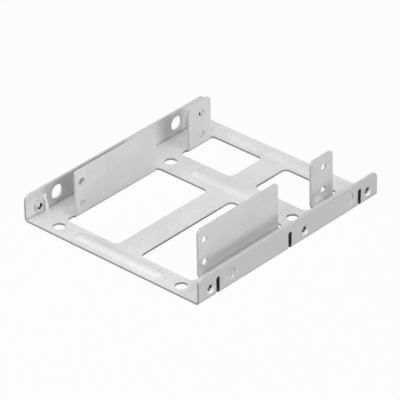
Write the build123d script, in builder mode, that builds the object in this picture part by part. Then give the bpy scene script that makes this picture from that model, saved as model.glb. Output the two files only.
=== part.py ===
from build123d import *
import math
import os

# A bracket that holds two small drives, one above the other, in a bay made for one large drive.
# It is one steel sheet, pierced, pressed and folded, so it is one solid.
# Millimetres. X runs across the bay, Y from the front edge to the back edge, Z up.
# The origin is at the middle of the underside.

# The sheet and its folds
sheet = 1.0
bend_inside = 1.0

# The outside copies a large drive: its width, and the tapped holes along its sides
width = 101.6
outer_wall_height = 12.6
outer_wall_corner = 2.8
side_hole_span = 101.6
side_hole_middle = 60.0
side_hole_height = 5.15
side_hole_to_front = 7.35
side_hole_to_back = 6.15

# A tapped hole is drawn inward, which leaves a rounded mouth and a short collar
tapped_bore = 2.85
mouth_width = 1.4
mouth_depth = 1.0
collar_wall = 0.8
collar_length = 1.3

# Tall inner walls hold the small drives by the screw holes in their sides
drive_width = 69.85
drive_clearance = 0.2
drive_hole_to_front = 19.95
drive_hole_pitch = 76.6
lower_hole_height = 6.05
drive_row_pitch = 11.05
drive_hole = 3.4
inner_wall_height = 23.3
inner_wall_corner = 2.0
long_wall_length = 50.6
long_wall_lead = 4.0
short_wall_length = 14.3
short_wall_lead = 8.25

# Four windows in the floor leave three cross bars and one bar along the middle.
# Each inner wall is the tongue of its window, so the gaps at its ends are set here.
middle_bar = 13.2
window_corner = 2.6
long_gap_front = 4.75
short_gap_front = 4.3
gap_back = 2.6

# A driver reaches each lower drive screw through a round hole in the outer wall,
# which stands a little above the screw and nearer the front
access_hole = 6.8
access_rise = 0.45
access_lead = 0.6

# Narrow slits run from each outer wall down through its fold. The first and the last
# are placed from the nearest access hole, and the other is half way between them.
slit_width = 2.2
slit_top = 9.0
slit_before_access = 7.5
slit_after_access = 7.3
slit_depth = 3.0

# Round pilot holes in the floor, in line with the inner walls
pilot_hole = 5.6

# A stiffening bead is pressed up along the middle of each cross bar
bead_width = 7.4
bead_height = 1.0
bead_foot = 3.4
front_bead_length = 51.8
middle_bead_length = 48.8
back_bead_length = 84.0

# Places worked out from the sizes above
bend_outside = bend_inside + sheet
length = side_hole_to_front + side_hole_span + side_hole_to_back
front = -length / 2
back = length / 2
side_holes = [
    front + side_hole_to_front,
    front + side_hole_to_front + side_hole_middle,
    front + side_hole_to_front + side_hole_span,
]
drive_holes = [front + drive_hole_to_front, front + drive_hole_to_front + drive_hole_pitch]
drive_rows = [lower_hole_height, lower_hole_height + drive_row_pitch]
access_holes = [drive_holes[0] - access_lead, drive_holes[1] - access_lead]
access_height = lower_hole_height + access_rise

drive_face = drive_width / 2 + drive_clearance
long_wall = [drive_holes[0] - long_wall_lead, drive_holes[0] - long_wall_lead + long_wall_length]
short_wall = [drive_holes[1] - short_wall_lead, drive_holes[1] - short_wall_lead + short_wall_length]
long_window = [long_wall[0] - long_gap_front, long_wall[1] + gap_back]
short_window = [short_wall[0] - short_gap_front, short_wall[1] + gap_back]
window_inside = middle_bar / 2
window_outside = drive_face + bend_outside

front_bar = (front + long_window[0]) / 2
cross_bar = (long_window[1] + short_window[0]) / 2
back_bar = (short_window[1] + back) / 2

first_slit = access_holes[0] - slit_before_access
last_slit = access_holes[1] + slit_after_access
slits = [first_slit, (first_slit + last_slit) / 2, last_slit]

# The slit's upper end is a half circle about this height
slit_round = slit_top - slit_width / 2

# The bead's section is three arcs, so its slope follows from its width and height
bead_slope = 2 * math.atan(2 * bead_height / bead_width)
bead_crown = bead_height / (1 - math.cos(bead_slope)) - bead_foot

# Faces that sketches are drawn on, seen from the right-hand side
outer_face = Plane(origin=(width / 2, 0, 0), x_dir=(0, 1, 0), z_dir=(1, 0, 0))


# Half of the bead's section, from its ridge to its foot, with the sheet's thickness all along
def bead_section():
    with BuildSketch() as section:
        with BuildLine():
            for level, crown, foot in (
                (0, bead_crown - sheet, bead_foot + sheet),
                (sheet, bead_crown, bead_foot),
            ):
                ridge = JernArc(
                    start=(0, level + bead_height),
                    tangent=(1, 0),
                    radius=crown,
                    arc_size=-math.degrees(bead_slope),
                )
                JernArc(
                    start=ridge @ 1,
                    tangent=ridge % 1,
                    radius=foot,
                    arc_size=math.degrees(bead_slope),
                )
            Line((0, bead_height), (0, bead_height + sheet))
            Line((bead_width / 2, 0), (bead_width / 2, sheet))
        make_face()
    return section.sketch


# Section of a drawn hole, from its bore out to the flat wall: X is depth, Y is distance from the axis
def drawn_hole_section():
    bore = tapped_bore / 2
    collar = bore + collar_wall
    mouth = bore + mouth_width
    end = sheet + collar_length
    with BuildSketch() as section:
        with BuildLine():
            EllipticalCenterArc((mouth_depth, mouth), mouth_depth, mouth_width, start_angle=180, arc_size=90)
            Polyline((mouth_depth, bore), (end, bore), (end, collar), (sheet, collar))
            Polyline((sheet, collar), (sheet, mouth), (0, mouth))
        make_face()
    return section.sketch


# The right half is made first, and mirrored at the end
with BuildPart() as bracket:
    # Floor, fold and outer wall
    with BuildSketch(Plane.XZ):
        with BuildLine():
            FilletPolyline(
                (0, 0),
                (width / 2, 0),
                (width / 2, outer_wall_height),
                radius=bend_outside,
            )
            offset(amount=sheet, side=Side.LEFT)
        make_face()
    extrude(amount=length / 2, both=True)
    fillet(bracket.edges().filter_by(Axis.X).group_by(Axis.Z)[-1], outer_wall_corner)

    # Windows in the floor
    with BuildSketch():
        for start, end in (long_window, short_window):
            with Locations(((window_inside + window_outside) / 2, (start + end) / 2)):
                RectangleRounded(window_outside - window_inside, end - start, window_corner)
    extrude(amount=sheet, mode=Mode.SUBTRACT)

    # Inner walls, folded up from the outer edge of each window
    for start, end in (long_wall, short_wall):
        with BuildSketch(Plane.XZ.offset(-end)):
            with BuildLine():
                FilletPolyline(
                    (window_outside + sheet, 0),
                    (drive_face, 0),
                    (drive_face, inner_wall_height),
                    radius=bend_outside,
                )
                offset(amount=sheet, side=Side.RIGHT)
            make_face()
        extrude(amount=end - start)
    fillet(bracket.edges().filter_by(Axis.X).group_by(Axis.Z)[-1], inner_wall_corner)

    # Screw holes for the small drives, in two rows
    with BuildSketch(Plane.YZ):
        for row in drive_rows:
            for place in drive_holes:
                with Locations((place, row)):
                    Circle(drive_hole / 2)
    extrude(amount=window_outside, mode=Mode.SUBTRACT)

    # Access holes and slits in the outer wall
    with BuildSketch(outer_face):
        for place in access_holes:
            with Locations((place, access_height)):
                Circle(access_hole / 2)
    extrude(amount=-sheet, mode=Mode.SUBTRACT)
    with BuildSketch(outer_face):
        for place in slits:
            with Locations((place, slit_round / 2)):
                Rectangle(slit_width, slit_round)
            with Locations((place, slit_round)):
                Circle(slit_width / 2)
    extrude(amount=-slit_depth, mode=Mode.SUBTRACT)

    # Pilot holes
    with BuildSketch():
        for place in (front_bar, cross_bar):
            with Locations((drive_face + sheet / 2, place)):
                Circle(pilot_hole / 2)
    extrude(amount=sheet, mode=Mode.SUBTRACT)

    # Beads: the flat sheet is taken out along a slot and put back as the pressed form
    for place, bead_length in (
        (front_bar, front_bead_length),
        (cross_bar, middle_bead_length),
        (back_bar, back_bead_length),
    ):
        with BuildSketch():
            with Locations((0, place)):
                SlotOverall(bead_length, bead_width)
        extrude(amount=sheet, mode=Mode.SUBTRACT)
        straight = (bead_length - bead_width) / 2
        with BuildSketch(Plane(origin=(0, place, 0), x_dir=(0, 1, 0), z_dir=(1, 0, 0))):
            add(bead_section())
            mirror(about=Plane.YZ)
        extrude(amount=straight)
        with BuildSketch(Plane(origin=(straight, place, 0), x_dir=(0, 1, 0), z_dir=(1, 0, 0))):
            add(bead_section())
        revolve(axis=Axis((straight, place, 0), (0, 0, -1)), revolution_arc=180)

    # Tapped holes: a disc of the wall is taken out and put back as the drawn form
    with BuildSketch(outer_face):
        for place in side_holes:
            with Locations((place, side_hole_height)):
                Circle(tapped_bore / 2 + mouth_width)
    extrude(amount=-sheet, mode=Mode.SUBTRACT)
    for place in side_holes:
        mouth = (width / 2, place, side_hole_height)
        with BuildSketch(Plane(origin=mouth, x_dir=(-1, 0, 0), z_dir=(0, 1, 0))):
            add(drawn_hole_section())
        revolve(axis=Axis(mouth, (1, 0, 0)))

    mirror(about=Plane.YZ)

bracket.part.label = "bracket"

os.makedirs("parts", exist_ok=True)
export_step(bracket.part, "parts/bracket.step")
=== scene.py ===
import bpy
import bmesh
import math
from mathutils import Matrix, Vector


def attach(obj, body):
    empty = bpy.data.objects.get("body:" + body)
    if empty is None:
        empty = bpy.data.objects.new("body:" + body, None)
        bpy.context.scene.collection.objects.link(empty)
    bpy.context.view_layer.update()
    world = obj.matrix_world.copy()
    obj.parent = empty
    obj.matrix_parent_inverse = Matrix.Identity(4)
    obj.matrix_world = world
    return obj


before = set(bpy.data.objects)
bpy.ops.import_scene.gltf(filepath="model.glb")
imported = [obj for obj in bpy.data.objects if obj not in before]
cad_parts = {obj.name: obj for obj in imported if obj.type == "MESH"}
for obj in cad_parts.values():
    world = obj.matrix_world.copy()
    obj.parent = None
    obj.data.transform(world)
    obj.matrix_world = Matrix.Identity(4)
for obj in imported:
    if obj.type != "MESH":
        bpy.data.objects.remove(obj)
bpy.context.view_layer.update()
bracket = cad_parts["bracket"]
mm = 0.001  # the frame is in metres, the sizes here are in millimetres


# sRGB hex to the linear colour that shaders work in
def linear(code):
    parts = [int(code[i:i + 2], 16) / 255 for i in (1, 3, 5)]
    return [p / 12.92 if p <= 0.04045 else ((p + 0.055) / 1.055) ** 2.4 for p in parts] + [1.0]


# one node: its settings by name, then its inputs by name or number, each a value or a socket to link.
# A Mix node takes numbers at 2 and 3 and gives one at 0, and takes colours at 6 and 7 and gives one at 2.
def addNode(tree, kind, settings=None, inputs=None):
    node = tree.nodes.new(kind)
    for name, value in (settings or {}).items():
        setattr(node, name, value)
    for name, value in (inputs or {}).items():
        if isinstance(value, bpy.types.NodeSocket):
            tree.links.new(value, node.inputs[name])
        else:
            node.inputs[name].default_value = value
    return node


def newMaterial(name):
    material = bpy.data.materials.new(name)
    material.use_nodes = True
    material.node_tree.nodes.clear()
    return material, material.node_tree


def newPiece(name, verts, faces):
    mesh = bpy.data.meshes.new(name)
    mesh.from_pydata(verts, [], faces)
    mesh.update()
    piece = bpy.data.objects.new(name, mesh)
    bpy.context.scene.collection.objects.link(piece)
    return piece


# Thread of the six tapped holes: one ridge winding down each bore.
# Bare steel cut by a tap and left oily, with a dull shine on the flanks; its colours are also darkened as
# painted shade of the deep bore.
thread = {
    "holesY": (-50.2, 9.8, 51.4),
    "height": 5.15,
    "bore": 1.425,        # radius of the CAD bore
    "pitch": 0.794,       # a common coarse thread of about 3.5 mm
    "depth": 0.16,        # how far the ridge stands out of the bore
    "sunk": 0.03,         # how far its foot is sunk in the wall
    "footShare": 0.36,    # half the ridge's width at its foot, in pitches
    "crestShare": 0.09,   # the same at its crest
    "from": 49.78,        # |X| where the ridge starts
    "to": 48.52,          # and where it ends
    "stepsPerTurn": 40,
    "fadeSteps": 6,       # steps in which the ridge runs in and out of the wall
    # bare steel darkened further: painted shade of the deep bore
    "steel": "#6e6e6e",
    "steelDark": "#444444",
    "roughness": 0.3,
    "markSize": 0.25,     # mm between the tap's marks
}


def makeThread(name, y, side, values):
    turns = (values["from"] - values["to"]) / values["pitch"]
    steps = round(turns * values["stepsPerTurn"])
    footHalf = values["pitch"] * values["footShare"]
    crestHalf = values["pitch"] * values["crestShare"]
    foot = values["bore"] + values["sunk"]
    verts, faces = [], []
    for i in range(steps + 1):
        angle = 2 * math.pi * i / values["stepsPerTurn"]
        depthX = values["from"] - values["pitch"] * i / values["stepsPerTurn"]
        fade = min(1.0, min(i, steps - i) / values["fadeSteps"])
        crest = values["bore"] - values["depth"] * fade
        for along, radius in ((footHalf, foot), (crestHalf, crest), (-crestHalf, crest), (-footHalf, foot)):
            # turning the same way about the axis on both sides keeps every thread right-handed
            verts.append((side * (depthX + along) * mm, (y + radius * math.cos(side * angle)) * mm,
                          (values["height"] + radius * math.sin(side * angle)) * mm))
    for i in range(steps):
        a, b = 4 * i, 4 * (i + 1)
        for j in range(4):
            k = (j + 1) % 4
            faces.append((a + j, b + j, b + k, a + k))
    end = 4 * steps
    faces += [(0, 1, 2, 3), (end + 3, end + 2, end + 1, end)]
    return newPiece(name, verts, faces)


def makeThreadSteelShaded(values):
    material, tree = newMaterial("steelThreadTapped")
    place = addNode(tree, "ShaderNodeTexCoord").outputs["Object"]
    marks = addNode(tree, "ShaderNodeTexNoise", {},
                    {"Vector": place, "Scale": 1 / (values["markSize"] * mm), "Detail": 2.0})
    colour = addNode(tree, "ShaderNodeMix", {"data_type": "RGBA"},
                     {"Factor": marks.outputs["Fac"],
                      6: linear(values["steelDark"]), 7: linear(values["steel"])})
    shader = addNode(tree, "ShaderNodeBsdfPrincipled", {},
                     {"Base Color": colour.outputs[2], "Metallic": 1.0, "Roughness": values["roughness"]})
    addNode(tree, "ShaderNodeOutputMaterial", {}, {"Surface": shader.outputs[0]})
    return material


threadSteelShaded = makeThreadSteelShaded(thread)
for side, sideName in ((1, "right"), (-1, "left")):
    for number, y in enumerate(thread["holesY"], 1):
        ridge = makeThread(f"thread_{sideName}_{number}", y, side, thread)
        ridge.data.materials.append(threadSteelShaded)
        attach(ridge, "root")
print("six threads cut")

# Cold-rolled steel sheet, pressed and then zinc-coated: a light neutral grey with a dull satin sheen.
# The eye sees soft broad reflections, a faint rolling direction and a fine crystal mottle.
# The sheared edges carry the same coat, a little duller and streaked by the tool under it.
# The coat is crazed and duller along the folds, which also carry painted shade; the tapped bores are painted
# dark as shade.
# The floor's rims, the outer walls' ends and the outer walls' outsides are darkened as painted shade.
zincSheet = {
    "coat": "#cecece",
    "coatPale": "#d5d5d5",
    "coatDull": "#c7c7c7",
    "edge": "#c6c6c6",
    "edgeDull": "#b8b8b8",
    # painted shade on the floor's rims and the outer walls' ends
    "rimPaintedShade": "#a8a8a8",
    # a duller stretched coat, darkened further as painted shade in the crease
    "fold": "#b4b4b4",
    "outer": "#c2c2c2",      # painted shade: the outer walls' outsides darkened as if reflecting a dimmer ground
    # painted shade: the deep tapped bores painted near black
    "bore": "#2e2e2e",
    "roughness": 0.75,
    "roughnessSwing": 0.08,
    "edgeRoughness": 0.72,
    "foldRoughness": 0.90,
    "boreRoughness": 0.50,
    "mottleSize": 1.4,       # mm, the real crystals are about 0.3 and would not show
    "patchSize": 22.0,       # mm, slow changes of tone from handling
    "rollingPitch": 0.5,     # mm between rolling lines
    "rollingStretch": 70.0,  # how much longer a rolling line is than it is wide
    "rollingShare": 0.45,    # rolling lines against mottle in the tone
    "patchShare": 0.4,       # patches against both
    "toneRange": (0.36, 0.64),    # the noise levels of the dull and the pale coat
    "sheenRange": (0.3, 0.7),     # and of the smoothest and the roughest
    "shearPitch": 0.22,      # mm between the streaks on a sheared edge
    "edgeRadius": 0.06,      # mm, the small roll-over of a pressed edge
    "grainHeight": 0.0025,   # mm
    "foldSpread": 2.0,       # how soon the duller fold reaches its full strength
}

# Where each finish lies. A row is one way to belong to it, and all the tests in the row hold there.
# faces is how far a face points along an axis, whichever way; the rest are millimetres.
below, above = "LESS_THAN", "GREATER_THAN"
edgeOn, headOn = 0.1, 0.7           # a face that doesn't point along an axis, and one that mostly does
floorTop, foldTop = 1.02, 2.02      # heights just above the flat floor and just above the folds
wallFold, wallFace = 48.7, 50.7     # |X| where the outer fold starts, and just behind the outer face
finishPlaces = {
    "sheared": (
        (("height", above, foldTop), ("facesX", below, edgeOn)),      # tops, ends and holes of the walls
        (("height", below, foldTop), ("facesY", above, headOn)),      # front and back rims, window ends
        (("height", below, foldTop), ("facesZ", below, edgeOn), ("middleX", below, 34.0)),  # window sides
        (("height", below, floorTop), ("facesZ", below, edgeOn), ("middleX", above, 30.0),
         ("middleX", below, 40.0)),                                   # pilot holes
    ),
    # the floor's rims and the outer walls' ends, darkened as painted shade
    "rimPaintedShade": (
        (("height", below, floorTop), ("facesZ", below, edgeOn), ("middleX", below, 40.0)),
        (("height", below, floorTop), ("facesZ", below, edgeOn), ("facesY", above, headOn)),
        (("middleX", above, wallFold), ("facesY", above, headOn), ("middleY", above, 56.0)),
    ),
    # the folds of the outer walls and of the inner walls, where a duller coat and painted shade lie
    "fold": (
        (("height", below, foldTop), ("facesY", below, 0.05), ("middleX", above, wallFold)),
        (("height", below, foldTop), ("facesY", below, 0.05), ("middleX", above, 35.0),
         ("middleX", below, 37.2)),
    ),
    # the outer walls' outsides, which get painted shade
    "outer": ((("middleX", above, wallFace),),),
    # deep in the tapped bores, painted dark as shade
    "bore": (
        (("hole", below, thread["bore"] + 0.12), ("middleX", above, 47.7), ("middleX", below, 49.62)),
    ),
}


# what the rows test, as sockets: which way a face looks, how far it is from the middle and how high,
# and how far from the axis of the nearest tapped hole
def measureSurface(tree, inMm):
    normal = addNode(tree, "ShaderNodeNewGeometry").outputs["True Normal"]
    facing = addNode(tree, "ShaderNodeSeparateXYZ", {}, {0: normal}).outputs
    place = addNode(tree, "ShaderNodeSeparateXYZ", {}, {0: inMm}).outputs
    found = {"height": place[2]}
    for name, socket in (("facesX", facing[0]), ("facesY", facing[1]), ("facesZ", facing[2]),
                         ("middleX", place[0]), ("middleY", place[1])):
        found[name] = addNode(tree, "ShaderNodeMath", {"operation": "ABSOLUTE"}, {0: socket}).outputs[0]
    flat = addNode(tree, "ShaderNodeCombineXYZ", {}, {0: 0.0, 1: place[1], 2: place[2]}).outputs[0]
    for y in thread["holesY"]:
        away = addNode(tree, "ShaderNodeVectorMath", {"operation": "DISTANCE"},
                       {0: flat, 1: (0.0, y, thread["height"])}).outputs["Value"]
        found["hole"] = away if "hole" not in found else addNode(
            tree, "ShaderNodeMath", {"operation": "MINIMUM"}, {0: found["hole"], 1: away}).outputs[0]
    return found


# 1 where any row's tests all hold, 0 elsewhere
def addMask(tree, found, rows):
    mask = None
    for row in rows:
        belongs = None
        for measure, test, limit in row:
            passed = addNode(tree, "ShaderNodeMath", {"operation": test},
                             {0: found[measure], 1: limit}).outputs[0]
            belongs = passed if belongs is None else addNode(
                tree, "ShaderNodeMath", {"operation": "MULTIPLY"}, {0: belongs, 1: passed}).outputs[0]
        mask = belongs if mask is None else addNode(
            tree, "ShaderNodeMath", {"operation": "MAXIMUM"}, {0: mask, 1: belongs}).outputs[0]
    return mask


def makeZincSheet(values):
    material, tree = newMaterial("zincCoatedSheetPressed")
    place = addNode(tree, "ShaderNodeTexCoord").outputs["Object"]
    inMm = addNode(tree, "ShaderNodeVectorMath", {"operation": "SCALE"},
                   {0: place, "Scale": 1 / mm}).outputs[0]
    found = measureSurface(tree, inMm)
    masks = {name: addMask(tree, found, rows) for name, rows in finishPlaces.items()}

    # half way round a fold the duller coat and its painted shade have their full strength, and fade to 0
    # where the sheet is flat
    turned = addNode(tree, "ShaderNodeMath", {"operation": "MULTIPLY"},
                     {0: found["facesX"], 1: found["facesZ"]})
    turned = addNode(tree, "ShaderNodeMath", {"operation": "MULTIPLY", "use_clamp": True},
                     {0: turned.outputs[0], 1: values["foldSpread"]})
    masks["fold"] = addNode(tree, "ShaderNodeMath", {"operation": "MULTIPLY"},
                            {0: turned.outputs[0], 1: masks["fold"]}).outputs[0]

    mottle = addNode(tree, "ShaderNodeTexNoise", {"noise_dimensions": "3D"},
                     {"Vector": inMm, "Scale": 1 / values["mottleSize"], "Detail": 4.0, "Roughness": 0.6})
    patches = addNode(tree, "ShaderNodeTexNoise", {"noise_dimensions": "3D"},
                      {"Vector": inMm, "Scale": 1 / values["patchSize"], "Detail": 3.0, "Roughness": 0.5})
    acrossScale = 1 / values["rollingPitch"]
    alongScale = 1 / (values["rollingPitch"] * values["rollingStretch"])
    lines = addNode(tree, "ShaderNodeMapping", {},
                    {"Vector": inMm, "Scale": (acrossScale, alongScale, acrossScale)})
    rolling = addNode(tree, "ShaderNodeTexNoise", {"noise_dimensions": "3D"},
                      {"Vector": lines.outputs[0], "Scale": 1.0, "Detail": 2.0, "Roughness": 0.55})

    fineTone = addNode(tree, "ShaderNodeMix", {"data_type": "FLOAT"},
                       {"Factor": values["rollingShare"],
                        2: mottle.outputs["Fac"], 3: rolling.outputs["Fac"]})
    tone = addNode(tree, "ShaderNodeMix", {"data_type": "FLOAT"},
                   {"Factor": values["patchShare"], 2: fineTone.outputs[0], 3: patches.outputs["Fac"]})
    coat = addNode(tree, "ShaderNodeValToRGB", {}, {"Fac": tone.outputs[0]})
    ramp = coat.color_ramp
    ramp.elements[0].position, ramp.elements[1].position = values["toneRange"]
    ramp.elements[0].color = linear(values["coatDull"])
    ramp.elements[1].color = linear(values["coatPale"])
    middle = ramp.elements.new(sum(values["toneRange"]) / 2)
    middle.color = linear(values["coat"])

    streakPlace = addNode(tree, "ShaderNodeMapping", {},
                          {"Vector": inMm, "Scale": (1 / values["shearPitch"],) * 3})
    streaks = addNode(tree, "ShaderNodeTexNoise", {"noise_dimensions": "3D"},
                      {"Vector": streakPlace.outputs[0], "Scale": 1.0, "Detail": 2.0, "Roughness": 0.5})
    edge = addNode(tree, "ShaderNodeMix", {"data_type": "RGBA"},
                   {"Factor": streaks.outputs["Fac"],
                    6: linear(values["edgeDull"]), 7: linear(values["edge"])})

    # the finishes lie over the coat in this order
    colour = coat.outputs["Color"]
    for name, finish in (("sheared", edge.outputs[2]), ("rimPaintedShade", linear(values["rimPaintedShade"])),
                         ("fold", linear(values["fold"])), ("outer", linear(values["outer"])),
                         ("bore", linear(values["bore"]))):
        colour = addNode(tree, "ShaderNodeMix", {"data_type": "RGBA"},
                         {"Factor": masks[name], 6: colour, 7: finish}).outputs[2]

    lowSheen, highSheen = values["sheenRange"]
    rough = addNode(tree, "ShaderNodeMapRange", {}, {
        "Value": tone.outputs[0], "From Min": lowSheen, "From Max": highSheen,
        "To Min": values["roughness"] - values["roughnessSwing"] / 2,
        "To Max": values["roughness"] + values["roughnessSwing"] / 2}).outputs[0]
    for name, finish in (("sheared", "edgeRoughness"), ("fold", "foldRoughness"), ("bore", "boreRoughness")):
        rough = addNode(tree, "ShaderNodeMix", {"data_type": "FLOAT"},
                        {"Factor": masks[name], 2: rough, 3: values[finish]}).outputs[0]

    soft = addNode(tree, "ShaderNodeBevel", {"samples": 4}, {"Radius": values["edgeRadius"] * mm})
    height = addNode(tree, "ShaderNodeMix", {"data_type": "FLOAT"},
                     {"Factor": 0.5, 2: mottle.outputs["Fac"], 3: rolling.outputs["Fac"]})
    grain = addNode(tree, "ShaderNodeBump", {},
                    {"Strength": 1.0, "Distance": values["grainHeight"] * mm,
                     "Height": height.outputs[0], "Normal": soft.outputs[0]})
    shader = addNode(tree, "ShaderNodeBsdfPrincipled", {},
                     {"Base Color": colour, "Metallic": 1.0, "Roughness": rough, "Normal": grain.outputs[0]})
    addNode(tree, "ShaderNodeOutputMaterial", {}, {"Surface": shader.outputs[0]})
    return material


zincMaterial = makeZincSheet(zincSheet)
bracket.data.materials.clear()
bracket.data.materials.append(zincMaterial)
for face in bracket.data.polygons:
    face.material_index = 0
print("bracket dressed in zinc-coated sheet")

# Gussets: each narrow opening across the outer folds is closed by a rib of the same sheet, pressed inward.
# From outside it is a deep groove, from inside a rib that slants from the wall to the floor.
# The groove behind the rib is painted dark as shade, with painted light making it paler toward its open
# foot.
gusset = {
    "placesY": (-45.7, 0.0, 45.7),
    "half": 1.12,           # half its width, a little more than the opening's
    "top": 9.0,
    "roundFrom": 7.9,       # where its round upper end starts
    "leastWidth": 0.02,     # of the full width, at the very top
    "wallInside": 49.8,
    "wallOutside": 50.8,
    "foldMiddle": (48.8, 2.0),
    "foldInside": 1.0,
    "foldOutside": 2.0,
    "footAt": 47.8,         # |X| where it meets the flat floor
    "bulge": 0.4,           # how far its ridge stands in front of the straight slant
    "bulgeFade": 1.0,       # mm in which the bulge starts and ends
    "thickness": 0.6,       # the sheet is stretched thin here
    "outward": (0.97, -0.24),     # the way from the ridge to the groove behind it
    "topShare": 0.03,       # the part of its run in which it leaves the wall
    "endShare": 0.12,       # and in which the groove comes back to the underside
    "across": 12,
    "down": 26,
    # painted shade: the groove painted dark, and painted light: paler toward its open foot
    "groove": "#505050",
    "grooveFootPaintedLight": "#8c8c8c",
    "grooveRoughness": 0.8,
    "markSize": 0.5,        # mm between the wobbles in the edge of the painted paler foot
    "markReach": 1.2,       # mm by which they shift the change of tone
    "paleFrom": 3.2,        # mm up where the groove starts to be paler
    "paleTo": 0.6,
}


def smooth(value):
    value = min(1.0, max(0.0, value))
    return value * value * (3 - 2 * value)


# at one step down: the sheet's inner and outer face beside the rib, its ridge, and the groove behind it
def gussetLines(share, values):
    inside, outside, top = values["wallInside"], values["wallOutside"], values["top"]
    middle = Vector(values["foldMiddle"])
    wallRun = top - middle.y
    turnRun = math.pi / 2 * (values["foldInside"] + values["foldOutside"]) / 2
    floorRun = middle.x - values["footAt"]
    run = share * (wallRun + turnRun + floorRun)
    if run <= wallRun:
        ridgeZ = top - run
        innerAt, outerAt = Vector((inside, ridgeZ)), Vector((outside, ridgeZ))
    else:
        turn = min(1.0, (run - wallRun) / turnRun) * math.pi / 2
        slide = Vector((max(0.0, run - wallRun - turnRun), 0))
        aim = Vector((math.cos(turn), -math.sin(turn)))
        innerAt = middle - slide + aim * values["foldInside"]
        outerAt = middle - slide + aim * values["foldOutside"]
        ridgeZ = middle.y - (run - wallRun) / (turnRun + floorRun) * values["foldInside"]
    floorZ = middle.y - values["foldInside"]
    slant = (top - ridgeZ) / (top - floorZ)
    fade = values["bulgeFade"]
    bulge = values["bulge"] * smooth((top - ridgeZ) / fade) * smooth((ridgeZ - floorZ) / fade)
    ridge = Vector((inside - (inside - values["footAt"]) * slant - bulge, ridgeZ))
    groove = ridge + Vector(values["outward"]) * values["thickness"]
    atTop = smooth(share / values["topShare"])
    atEnd = smooth((share - 1 + values["endShare"]) / values["endShare"])
    groove = outerAt.lerp(groove.lerp(outerAt, atEnd), atTop)
    return innerAt, outerAt, innerAt.lerp(ridge, atTop), groove


def makeGusset(name, y, side, values):
    across, down = values["across"], values["down"]
    reach = values["top"] - values["roundFrom"]
    verts, faces, slots = [], [], []
    for i in range(down + 1):
        innerAt, outerAt, ridge, groove = gussetLines(i / down, values)
        rise = max(0.0, innerAt.y - values["roundFrom"]) / reach
        half = values["half"] * max(values["leastWidth"], math.sqrt(max(0.0, 1 - rise ** 2)))
        for edge, crown in ((innerAt, ridge), (outerAt, groove)):
            for j in range(across + 1):
                angle = math.pi * (j / across - 0.5)
                spot = edge.lerp(crown, math.cos(angle))
                verts.append((side * spot.x * mm, (y + half * math.sin(angle)) * mm, spot.y * mm))
    row = 2 * (across + 1)
    for i in range(down):
        a, b = i * row, (i + 1) * row
        for j in range(across):
            k = across + 1 + j
            faces += [(a + j, a + j + 1, b + j + 1, b + j), (a + k + 1, a + k, b + k, b + k + 1)]
            slots += [0, 1]     # the rib is coated, the groove behind it gets the painted shade
        for j in (0, across):
            faces.append((a + j, b + j, b + j + across + 1, a + j + across + 1))
            slots.append(0)
    for start in (0, down * row):
        for j in range(across):
            faces.append((start + j, start + j + 1, start + j + across + 2, start + j + across + 1))
            slots.append(0)
    piece = newPiece(name, verts, faces)
    turning = bmesh.new()
    turning.from_mesh(piece.data)
    bmesh.ops.recalc_face_normals(turning, faces=turning.faces)
    turning.to_mesh(piece.data)
    turning.free()
    for face, slot in zip(piece.data.polygons, slots):
        face.material_index = slot
        face.use_smooth = True
    return piece


def makeGroovePaintedShade(values):
    material, tree = newMaterial("steelStretchedBare")
    place = addNode(tree, "ShaderNodeTexCoord").outputs["Object"]
    height = addNode(tree, "ShaderNodeSeparateXYZ", {}, {0: place}).outputs[2]
    marks = addNode(tree, "ShaderNodeTexNoise", {},
                    {"Vector": place, "Scale": 1 / (values["markSize"] * mm), "Detail": 3.0})
    uneven = addNode(tree, "ShaderNodeMath", {"operation": "MULTIPLY_ADD"},
                     {0: marks.outputs["Fac"], 1: values["markReach"] * mm, 2: height})
    dark = addNode(tree, "ShaderNodeMapRange", {},
                   {"Value": uneven.outputs[0],
                    "From Min": values["paleTo"] * mm, "From Max": values["paleFrom"] * mm})
    colour = addNode(tree, "ShaderNodeMix", {"data_type": "RGBA"},
                     {"Factor": dark.outputs[0],
                      6: linear(values["grooveFootPaintedLight"]), 7: linear(values["groove"])})
    shader = addNode(tree, "ShaderNodeBsdfPrincipled", {},
                     {"Base Color": colour.outputs[2], "Metallic": 1.0,
                      "Roughness": values["grooveRoughness"]})
    addNode(tree, "ShaderNodeOutputMaterial", {}, {"Surface": shader.outputs[0]})
    return material


groovePaintedShade = makeGroovePaintedShade(gusset)
for side, sideName in ((1, "right"), (-1, "left")):
    for number, y in enumerate(gusset["placesY"], 1):
        rib = makeGusset(f"gusset_{sideName}_{number}", y, side, gusset)
        rib.data.materials.append(zincMaterial)
        rib.data.materials.append(groovePaintedShade)
        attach(rib, "root")
print("six gussets pressed")

# A pale table that reads as a white ground and keeps a soft shadow of the bracket
table = {
    "size": 4000.0,
    "paper": "#9c9c9c",
    "white": "#ffffff",
    "whiteSeen": 0.97,       # how much of what the camera sees is plain white, the rest is the paper
    "whiteReflected": 0.40,  # the same for what the metal reflects
    "drop": 0.02,            # mm under the bracket, so that the two faces do not fight
}


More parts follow.
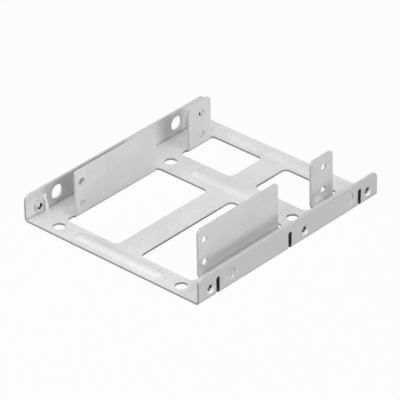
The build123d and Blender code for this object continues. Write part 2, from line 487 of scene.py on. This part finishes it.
def makeTable(values):
    reach = values["size"] / 2 * mm
    corners = [(-reach, -reach, 0), (reach, -reach, 0), (reach, reach, 0), (-reach, reach, 0)]
    top = newPiece("table", corners, [(0, 1, 2, 3)])
    top.location.z = -values["drop"] * mm
    material, tree = newMaterial("paperWhiteMatt")
    rays = addNode(tree, "ShaderNodeLightPath")
    reflected = addNode(tree, "ShaderNodeMath", {"operation": "MAXIMUM"},
                        {0: rays.outputs["Is Glossy Ray"], 1: rays.outputs["Is Transmission Ray"]})
    reflected = addNode(tree, "ShaderNodeMath", {"operation": "MULTIPLY"},
                        {0: reflected.outputs[0], 1: values["whiteReflected"]})
    seen = addNode(tree, "ShaderNodeMath", {"operation": "MULTIPLY"},
                   {0: rays.outputs["Is Camera Ray"], 1: values["whiteSeen"]})
    share = addNode(tree, "ShaderNodeMath", {"operation": "MAXIMUM"},
                    {0: reflected.outputs[0], 1: seen.outputs[0]})
    paper = addNode(tree, "ShaderNodeBsdfDiffuse", {}, {"Color": linear(values["paper"])})
    white = addNode(tree, "ShaderNodeEmission", {}, {"Color": linear(values["white"]), "Strength": 1.0})
    both = addNode(tree, "ShaderNodeMixShader", {},
                   {0: share.outputs[0], 1: paper.outputs[0], 2: white.outputs[0]})
    addNode(tree, "ShaderNodeOutputMaterial", {}, {"Surface": both.outputs[0]})
    top.data.materials.append(material)
    return top


makeTable(table)
print("table laid")

# Plain soft studio light: a pale room all round and five soft boxes.
# The low one at the right is the key, and throws the inner walls' shadows.
# The small near one makes the front of the floor brighter than the back.
studio = {
    "room": "#ffffff",
    "roomStrength": 0.10,
    "roomSeen": 1.0,        # the room's strength to the camera and in reflections, where 1 is white
    # degrees from +X toward +Y, degrees up, mm away, mm across, watts
    "boxes": {
        "key": (15, 20, 1200, 300, 5.6),
        "right": (0, 42, 1200, 340, 5.2),
        "near": (-120, 50, 250, 120, 0.15),
        "front": (-80, 20, 1200, 900, 6.0),
        "top": (0, 89, 1200, 600, 1.0),
    },
}


def makeStudio(values):
    world = bpy.data.worlds.new("paleRoom")
    bpy.context.scene.world = world
    world.use_nodes = True
    tree = world.node_tree
    tree.nodes.clear()
    rays = addNode(tree, "ShaderNodeLightPath")
    seen = addNode(tree, "ShaderNodeMath", {"operation": "MAXIMUM"},
                   {0: rays.outputs["Is Camera Ray"], 1: rays.outputs["Is Transmission Ray"]})
    seen = addNode(tree, "ShaderNodeMath", {"operation": "MAXIMUM"},
                   {0: seen.outputs[0], 1: rays.outputs["Is Glossy Ray"]})
    strength = addNode(tree, "ShaderNodeMix", {"data_type": "FLOAT"},
                       {"Factor": seen.outputs[0], 2: values["roomStrength"], 3: values["roomSeen"]})
    glow = addNode(tree, "ShaderNodeBackground", {},
                   {"Color": linear(values["room"]), "Strength": strength.outputs[0]})
    addNode(tree, "ShaderNodeOutputWorld", {}, {"Surface": glow.outputs[0]})
    for name, (turn, rise, distance, size, watts) in values["boxes"].items():
        lamp = bpy.data.lights.new(name + "Box", "AREA")
        lamp.shape = "DISK"
        lamp.size = size * mm
        lamp.energy = watts
        holder = bpy.data.objects.new(name + "Box", lamp)
        turn, rise = math.radians(turn), math.radians(rise)
        away = Vector((math.cos(turn) * math.cos(rise), math.sin(turn) * math.cos(rise), math.sin(rise)))
        holder.location = away * distance * mm
        holder.rotation_euler = away.to_track_quat("Z", "Y").to_euler()
        holder.visible_camera = False
        bpy.context.scene.collection.objects.link(holder)


makeStudio(studio)
print("studio lit")

# Camera as in the photograph: from the front right and above, with a long lens
view = {
    "azimuth": 42.73,
    "elevation": 31.73,
    "roll": -1.05,
    "distance": 1539.9,
    "target": (0.0, 0.45, 8.0),
    "focal": 3562.4,             # in pixels of the 400 pixel frame
    "frame": 400.0,
    "centre": (202.03, 192.29),  # where the target falls in that frame
    "sensor": 36.0,
    "clip": (0.05, 20.0),        # metres
}


def makeCamera(values):
    azimuth, elevation, roll = (math.radians(values[n]) for n in ("azimuth", "elevation", "roll"))
    forward = Vector((-math.sin(azimuth) * math.cos(elevation), math.cos(azimuth) * math.cos(elevation),
                      -math.sin(elevation)))
    level = Vector((math.cos(azimuth), math.sin(azimuth), 0))
    upward = level.cross(forward)
    right = math.cos(roll) * level + math.sin(roll) * upward
    up = -math.sin(roll) * level + math.cos(roll) * upward
    camera = bpy.data.cameras.new("photoCamera")
    camera.sensor_width = values["sensor"]
    camera.lens = values["focal"] / values["frame"] * camera.sensor_width
    camera.shift_x = -(values["centre"][0] - values["frame"] / 2) / values["frame"]
    camera.shift_y = (values["centre"][1] - values["frame"] / 2) / values["frame"]
    camera.clip_start, camera.clip_end = values["clip"]
    holder = bpy.data.objects.new("photoCamera", camera)
    stand = (Vector(values["target"]) - forward * values["distance"]) * mm
    holder.matrix_world = Matrix.Translation(stand) @ Matrix((right, up, -forward)).transposed().to_4x4()
    bpy.context.scene.collection.objects.link(holder)
    bpy.context.scene.camera = holder


makeCamera(view)
bpy.context.scene.view_settings.view_transform = "Standard"
print("camera set")
